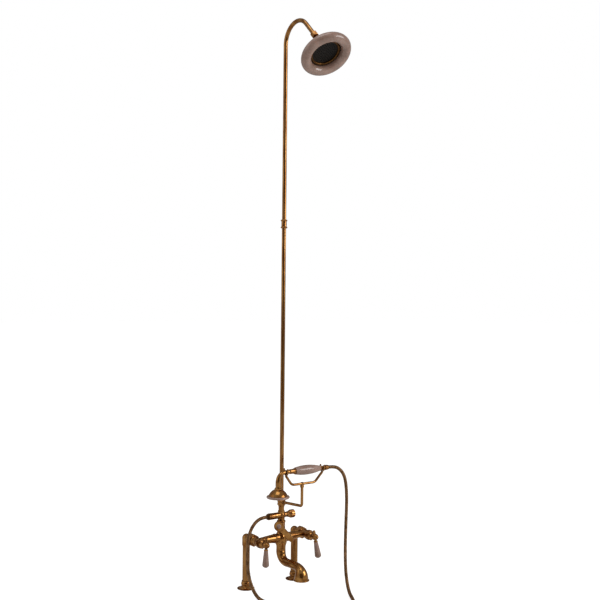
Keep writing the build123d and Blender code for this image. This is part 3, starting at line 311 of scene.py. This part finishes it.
def porcelainMaterial(s):
    material, tree = newMaterial("glazedPorcelain")
    place = addNode(tree, "ShaderNodeTexCoord").outputs["Object"]
    cloud = spread(tree, noiseAt(tree, place, s["patchMm"]), *s["cloudEdges"], 0.0, 1.0)
    base = mixed(tree, cloud, linearColor(s["warm"]), linearColor(s["pale"]))
    wander = addNode(tree, "ShaderNodeTexNoise", {"Vector": place, "Scale": 1000 / s["crazeMm"]})
    bent = mixed(tree, s["crazeBend"], place, wander.outputs["Color"])
    cells = addNode(tree, "ShaderNodeTexVoronoi", {"Vector": bent, "Scale": 1000 / s["crazeMm"]},
                    feature="DISTANCE_TO_EDGE")
    lines = spread(tree, cells.outputs["Distance"], 0.0, s["crazeLine"], s["crazeShare"], 0.0)
    fade = spread(tree, noiseAt(tree, place, s["fadeMm"]), *s["fadeEdges"], 0.0, 1.0)
    faded = mathNode(tree, "MULTIPLY", lines, fade)
    base = mixed(tree, faded, base, linearColor(s["craze"]))
    # darker in corners and where parts meet, by ambient occlusion: painted shade
    hollow = addNode(tree, "ShaderNodeAmbientOcclusion", {"Distance": s["cornerMm"] / 1000},
                     samples=s["cornerSamples"]).outputs["AO"]
    cornerShade = spread(tree, hollow, *s["cornerEdges"], s["cornerShadeShare"], 0.0)
    base = mixed(tree, cornerShade, base, linearColor(s["cornerShade"]))
    gloss = spread(tree, noiseAt(tree, place, s["glossMm"]), *s["glossEdges"], s["smoothest"], s["roughest"])
    wavyGlaze = addNode(tree, "ShaderNodeBump", {"Strength": s["glaze"],
                        "Distance": s["glazeHeightMm"] / 1000,
                        "Height": noiseAt(tree, place, s["glazeMm"], detail=1.0)}).outputs[0]
    shader = addNode(tree, "ShaderNodeBsdfPrincipled", {"Base Color": base, "Roughness": gloss,
                     "IOR": s["ior"], "Subsurface Weight": s["glow"],
                     "Subsurface Scale": s["glowMm"] / 1000, "Coat Weight": s["coat"],
                     "Coat Roughness": s["coatRoughness"], "Normal": wavyGlaze})
    return finishMaterial(material, shader.outputs[0])


porcelain = porcelainMaterial(porcelainSettings)

# dark spray faces, rubber washers and ceramic discs
smallSettings = {"sprayFace": ("#1A120B", "#0C0804", 0.5), "washerRubber": ("#2B2B2B", "#191919", 0.7),
                 "ceramicDisc": ("#EDE6DA", "#DDD3C4", 0.25)}
everySmall = {"cloudMm": 4.0, "cloudDetail": 4.0, "cloudEdges": (0.35, 0.65), "glossMm": 1.5,
              "glossEdges": (0.3, 0.7), "smoother": 0.08, "rougher": 0.1, "grainMm": 0.8,
              "grainHeightMm": 0.1, "grain": 0.2, "ior": 1.45, "shine": 0.3}


def plainMaterial(name, light, dark, roughness, s=everySmall):
    # moulded or sintered: faint mottling of colour and gloss, and a fine grain
    material, tree = newMaterial(name)
    place = addNode(tree, "ShaderNodeTexCoord").outputs["Object"]
    patches = noiseAt(tree, place, s["cloudMm"], detail=s["cloudDetail"])
    cloud = spread(tree, patches, *s["cloudEdges"], 0.0, 1.0)
    base = mixed(tree, cloud, linearColor(dark), linearColor(light))
    rough = spread(tree, noiseAt(tree, place, s["glossMm"]), *s["glossEdges"],
                   roughness - s["smoother"], roughness + s["rougher"])
    grain = addNode(tree, "ShaderNodeBump", {"Strength": s["grain"],
                    "Distance": s["grainHeightMm"] / 1000,
                    "Height": noiseAt(tree, place, s["grainMm"])}).outputs[0]
    shader = addNode(tree, "ShaderNodeBsdfPrincipled", {"Base Color": base, "Roughness": rough,
                     "IOR": s["ior"], "Specular IOR Level": s["shine"], "Normal": grain})
    return finishMaterial(material, shader.outputs[0])


sprayFace = plainMaterial("mouldedSprayRubber", *smallSettings["sprayFace"])
washerRubber = plainMaterial("washerRubber", *smallSettings["washerRubber"])
ceramicDisc = plainMaterial("sinteredCeramic", *smallSettings["ceramicDisc"])

# hose finish: brass strip, bright on the crests and darker in the grooves, which is painted shade
hoseFinish = {"crest": "#B38860", "crestDull": "#7C5A3C", "groove": "#38220F", "cloudMm": 12.0,
              "cloudEdges": (0.35, 0.65), "grooveEdges": (0.15, 0.8), "smoothest": 0.32, "roughest": 0.6}


def hoseMaterial(s):
    material, tree = newMaterial("interlockedBrassStrip")
    place = addNode(tree, "ShaderNodeTexCoord").outputs["Object"]
    cloud = spread(tree, noiseAt(tree, place, s["cloudMm"]), *s["cloudEdges"], 0.0, 1.0)
    base = mixed(tree, cloud, linearColor(s["crestDull"]), linearColor(s["crest"]))
    groove = addNode(tree, "ShaderNodeAttribute", attribute_name="groove").outputs["Fac"]
    # grooves painted darker than the crests: painted shade
    dark = spread(tree, groove, *s["grooveEdges"], 0.0, 1.0)
    base = mixed(tree, dark, base, linearColor(s["groove"]))
    rough = spread(tree, groove, 0.0, 1.0, s["smoothest"], s["roughest"])
    shader = addNode(tree, "ShaderNodeBsdfPrincipled", {"Base Color": base, "Metallic": 1.0,
                     "Roughness": rough})
    return finishMaterial(material, shader.outputs[0])


hoseStrip = hoseMaterial(hoseFinish)
print("materials ready")

# the hose itself
hoseRoute = hoseDown + coilPoints(hoseSettings) + hoseUp
pathObject = asMesh(hoseLine(hoseRoute), "hosePath")
bpy.data.objects.remove(pathObject)
hoseHost = hoseLine(hoseRoute)
ribbedHose = hoseTree(hoseStrip, hoseSettings["grooveSharpness"])
useTree(hoseHost, ribbedHose, {"Rib Pitch": hoseSettings["ribPitch"], "Rings": hoseSettings["ribRings"],
        "Groove Depth": hoseSettings["grooveDepth"], "Radius": hoseSettings["diameter"] / 2,
        "Sides": hoseSettings["sides"]})
hose = asMesh(hoseHost, "showerHose", hoseStrip)
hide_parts("hose_left", "hose_coil", "hose_right")
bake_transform(hose)
print("hose ready:", len(hose.data.polygons), "faces")

# spray faces: a moulded disc with rings of small rubber nozzles that stand out of it
headFaceSettings = {"centre": (0, -0.2182376, 1.6196152), "way": (0, -0.6087614, -0.7933533),
                    "start": 0.0506, "thickness": 0.003, "radius": 0.0394, "edge": 0.0006,
                    "nozzleCount": 90, "ringStep": 0.0062, "nozzleRadius": 0.0014, "nozzleHeight": 0.0013,
                    "body": "shower_head", "node": "head_spray_plate"}
handFaceSettings = {"centre": (-0.085, -0.16, 0.302), "way": (0, 0, -1),
                    "start": 0.0, "thickness": 0.0024, "radius": 0.02398, "edge": 0.0005,
                    "nozzleCount": 36, "ringStep": 0.0058, "nozzleRadius": 0.0012, "nozzleHeight": 0.0009,
                    "body": "handset", "node": "handset_spray_plate"}


sprayShape = {"discSegments": 96, "nozzleSegments": 12, "lipEdges": 4, "stepEdges": 5, "boreShare": 0.45,
              "boreTaper": 0.9, "boreFloor": 0.2, "foot": 1.15, "waistHeight": 0.3, "shoulder": 0.8,
              "shoulderHeight": 0.9, "tip": 0.7}
onAxis = 1e-7  # radii under this count as zero


def turnedMesh(name, stops, segments):
    # closed shape of revolution about Z from (radius, height) stops that begin and end on the axis
    made = bmesh.new()
    rings = []
    for radius, height in stops:
        if radius < onAxis:
            rings.append([made.verts.new((0, 0, height))])
            continue
        turns = [math.tau * number / segments for number in range(segments)]
        rings.append([made.verts.new((radius * math.cos(a), radius * math.sin(a), height)) for a in turns])
    for low, high in zip(rings, rings[1:]):
        for number in range(segments):
            after = (number + 1) % segments
            corners = [low[number % len(low)], low[after % len(low)], high[after % len(high)],
                       high[number % len(high)]]
            made.faces.new(list(dict.fromkeys(corners)))
    bmesh.ops.recalc_face_normals(made, faces=made.faces)
    mesh = bpy.data.meshes.new(name)
    made.to_mesh(mesh)
    made.free()
    piece = bpy.data.objects.new(name, mesh)
    bpy.context.scene.collection.objects.link(piece)
    return piece


def nozzleTree():
    # nozzle k stands on ring n = floor(0.5 + sqrt(0.25 + k / 3)), which holds 6 n of them
    tree, given = newTree("nozzleRings", [("Count", "NodeSocketInt"), ("Ring Step", "NodeSocketFloat"),
                          ("Face Height", "NodeSocketFloat"), ("Nozzle", "NodeSocketObject"),
                          ("Material", "NodeSocketMaterial")])
    index = addNode(tree, "GeometryNodeInputIndex").outputs[0]
    third = mathNode(tree, "ADD", mathNode(tree, "DIVIDE", index, 3.0), 0.25)
    ring = mathNode(tree, "FLOOR", mathNode(tree, "ADD", mathNode(tree, "SQRT", third), 0.5001))
    before = mathNode(tree, "MULTIPLY", mathNode(tree, "MULTIPLY", ring, 3.0),
                      mathNode(tree, "SUBTRACT", ring, 1.0))
    share = mathNode(tree, "DIVIDE", mathNode(tree, "SUBTRACT", index, before),
                     mathNode(tree, "MULTIPLY", ring, 6.0))
    angle = mathNode(tree, "MULTIPLY", share, math.tau)
    reach = mathNode(tree, "MULTIPLY", ring, given["Ring Step"])
    place = addNode(tree, "ShaderNodeCombineXYZ", {
        "X": mathNode(tree, "MULTIPLY", reach, mathNode(tree, "COSINE", angle)),
        "Y": mathNode(tree, "MULTIPLY", reach, mathNode(tree, "SINE", angle)),
        "Z": given["Face Height"]}).outputs[0]
    spots = addNode(tree, "GeometryNodePoints", {"Count": given["Count"], "Position": place})
    shape = addNode(tree, "GeometryNodeObjectInfo", {"Object": given["Nozzle"]})
    nozzles = addNode(tree, "GeometryNodeInstanceOnPoints", {"Points": spots.outputs[0],
                      "Instance": shape.outputs["Geometry"]})
    joined = addNode(tree, "GeometryNodeJoinGeometry")
    tree.links.new(nozzles.outputs[0], joined.inputs[0])
    tree.links.new(given["Geometry"], joined.inputs[0])
    real = addNode(tree, "GeometryNodeRealizeInstances", {"Geometry": joined.outputs[0]})
    painted = addNode(tree, "GeometryNodeSetMaterial", {"Geometry": real.outputs[0],
                      "Material": given["Material"]})
    addNode(tree, "NodeGroupOutput", {"Geometry": painted.outputs[0]})
    return tree


def sprayPiece(name, tree, s, shape=sprayShape):
    face, edge, bore = s["thickness"], s["edge"], s["nozzleRadius"] * shape["boreShare"]
    base = turnedMesh(name + "Disc", [(0, 0), (s["radius"] - edge, 0), (s["radius"], edge),
                      (s["radius"], face - edge), (s["radius"] - edge, face),
                      (s["radius"] - shape["lipEdges"] * edge, face),
                      (s["radius"] - shape["stepEdges"] * edge, face - edge / 2),
                      (0, face - edge / 2)], shape["discSegments"])
    wide, tall = s["nozzleRadius"], s["nozzleHeight"]
    nozzle = turnedMesh(name + "Nozzle", [(0, -edge), (wide * shape["foot"], -edge),
                        (wide, tall * shape["waistHeight"]),
                        (wide * shape["shoulder"], tall * shape["shoulderHeight"]),
                        (wide * shape["tip"], tall), (bore, tall),
                        (bore * shape["boreTaper"], tall * shape["boreFloor"]),
                        (0, tall * shape["boreFloor"])], shape["nozzleSegments"])
    useTree(base, tree, {"Count": s["nozzleCount"], "Ring Step": s["ringStep"],
            "Face Height": face - edge / 2, "Nozzle": nozzle, "Material": sprayFace})
    piece = asMesh(base, name, sprayFace)
    bpy.data.objects.remove(nozzle)
    way = Vector(s["way"])
    place = Matrix.Translation(Vector(s["centre"]) + way * s["start"])
    piece.data.transform(place @ way.to_track_quat("Z", "X").to_matrix().to_4x4())
    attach(piece, s["body"])
    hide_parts(s["node"])
    return piece


nozzles = nozzleTree()
headFace = sprayPiece("headSprayFace", nozzles, headFaceSettings)
handFace = sprayPiece("handSprayFace", nozzles, handFaceSettings)
print("spray faces ready:", len(headFace.data.polygons), "and", len(handFace.data.polygons), "faces")

# finishes of the CAD nodes
finishes = {
    castBrass: "mixer_body spout elbows transfer_tee head_dome handset_bell handset_neck "
               "diverter_lever hot_lever_hub cold_lever_hub column_neck",
    tubeBrass: "leg_tubes riser_tube gooseneck_tube cradle_arm cradle_yoke leg_shanks "
               "hot_lever_rod cold_lever_rod",
    turnedBrass: "deck_flanges leg_base_nuts union_nuts valve_bonnets valve_cartridges "
                 "diverter_bonnet diverter_cartridge transfer_gland transfer_spindle transfer_knob "
                 "cradle_collar cradle_knob riser_coupling gooseneck_nut head_ball head_socket "
                 "handset_ferrule handset_tail hose_tee_nut hose_handset_nut "
                 "hot_spindle cold_spindle hot_lever_cap_screw cold_lever_cap_screw diverter_spindle",
    # the head bezel takes the dark brass as painted shade, for the dark room it reflects
    darkBrass: "hose_tee_ferrule hose_handset_ferrule head_bezel",
    porcelain: "hot_lever_porcelain cold_lever_porcelain diverter_button head_porcelain_ring "
               "handset_rim handset_grip",
    sprayFace: "head_spray_plate handset_spray_plate",
    washerRubber: "union_washers",
    ceramicDisc: "valve_discs",
    hoseStrip: "hose_left hose_coil hose_right"}
painted = 0
for material, names in finishes.items():
    for name in names.split():
        for slot in nodes[name].material_slots:
            slot.material = material
        painted += 1
print("finishes given to", painted, "nodes of", len(nodes))

# floor, world and studio lights
studioSettings = {"floorColor": "#F4F4F2", "floorLift": 3.2, "floorGlow": 0.72, "worldLight": 0.36,
                  "flagColor": "#57493C",
                  "floorReach": 30, "flagAim": (0, -0.1), "lightAim": (0, -0.1, 0.7),
                  "flags": [("cameraFlag", (-2.3, -3.4, 1.0), (4.6, 3.4)),
                            ("backFlag", (1.8, 2.6, 1.0), (2.2, 3.4))],
                  "lights": [("keyLight", (2.0, -2.9, 1.9), 1.8, 46),
                             ("fillLight", (-2.8, 1.2, 1.7), 2.2, 8),
                             ("topLight", (-0.6, -0.6, 3.4), 1.8, 16)]}


def makeFloor(s):
    # paper that the camera sees lighter than it lights the piece, so that it is white but for the shadow
    mesh = bpy.data.meshes.new("floor")
    reach = s["floorReach"]
    corners = [(-reach, -reach, 0), (reach, -reach, 0), (reach, reach, 0), (-reach, reach, 0)]
    mesh.from_pydata(corners, [], [(0, 1, 2, 3)])
    floor = bpy.data.objects.new("floor", mesh)
    bpy.context.scene.collection.objects.link(floor)
    material, tree = newMaterial("paperSweep")
    seen = addNode(tree, "ShaderNodeLightPath").outputs["Is Camera Ray"]
    lift = spread(tree, seen, 0.0, 1.0, 1.0, s["floorLift"])
    color = addNode(tree, "ShaderNodeVectorMath", {0: linearColor(s["floorColor"])[:3], "Scale": lift},
                    operation="SCALE").outputs[0]
    paper = addNode(tree, "ShaderNodeBsdfDiffuse", {"Color": color}).outputs[0]
    glow = addNode(tree, "ShaderNodeEmission", {"Color": (1, 1, 1, 1), "Strength": 1.0}).outputs[0]
    shader = addNode(tree, "ShaderNodeMixShader", {0: mathNode(tree, "MULTIPLY", seen, s["floorGlow"]),
                     1: paper, 2: glow})
    mesh.materials.append(finishMaterial(material, shader.outputs[0]))


def makeFlags(s):
    # dark cards that only reflections see: they give the polished brass its dark bands
    material, tree = newMaterial("darkCard")
    shader = addNode(tree, "ShaderNodeEmission", {"Color": linearColor(s["flagColor"]), "Strength": 1.0})
    finishMaterial(material, shader.outputs[0])
    for name, place, (wide, tall) in s["flags"]:
        mesh = bpy.data.meshes.new(name)
        mesh.from_pydata([(-wide / 2, -tall / 2, 0), (wide / 2, -tall / 2, 0), (wide / 2, tall / 2, 0),
                          (-wide / 2, tall / 2, 0)], [], [(0, 1, 2, 3)])
        mesh.materials.append(material)
        card = bpy.data.objects.new(name, mesh)
        bpy.context.scene.collection.objects.link(card)
        aim = Vector((*s["flagAim"], place[2])) - Vector(place)
        card.matrix_world = Matrix.Translation(place) @ aim.to_track_quat("Z", "Y").to_matrix().to_4x4()
        card.visible_camera = card.visible_diffuse = card.visible_shadow = False


def makeWorld(s):
    world = bpy.data.worlds.new("studioWorld")
    bpy.context.scene.world = world
    world.use_nodes = True
    tree = world.node_tree
    tree.nodes.clear()
    seen = addNode(tree, "ShaderNodeLightPath").outputs["Is Camera Ray"]
    strength = spread(tree, seen, 0.0, 1.0, s["worldLight"], 1.0)
    sky = addNode(tree, "ShaderNodeBackground", {"Color": (1, 1, 1, 1), "Strength": strength})
    addNode(tree, "ShaderNodeOutputWorld", {"Surface": sky.outputs[0]})


def makeLights(s):
    for name, place, size, watts in s["lights"]:
        data = bpy.data.lights.new(name, "AREA")
        data.size, data.energy = size, watts
        lamp = bpy.data.objects.new(name, data)
        aim = Vector(s["lightAim"]) - Vector(place)
        lamp.matrix_world = Matrix.Translation(place) @ aim.to_track_quat("-Z", "Y").to_matrix().to_4x4()
        bpy.context.scene.collection.objects.link(lamp)


makeFloor(studioSettings)
makeFlags(studioSettings)
makeWorld(studioSettings)
makeLights(studioSettings)
bpy.context.scene.view_settings.view_transform = "Standard"
print("studio ready")
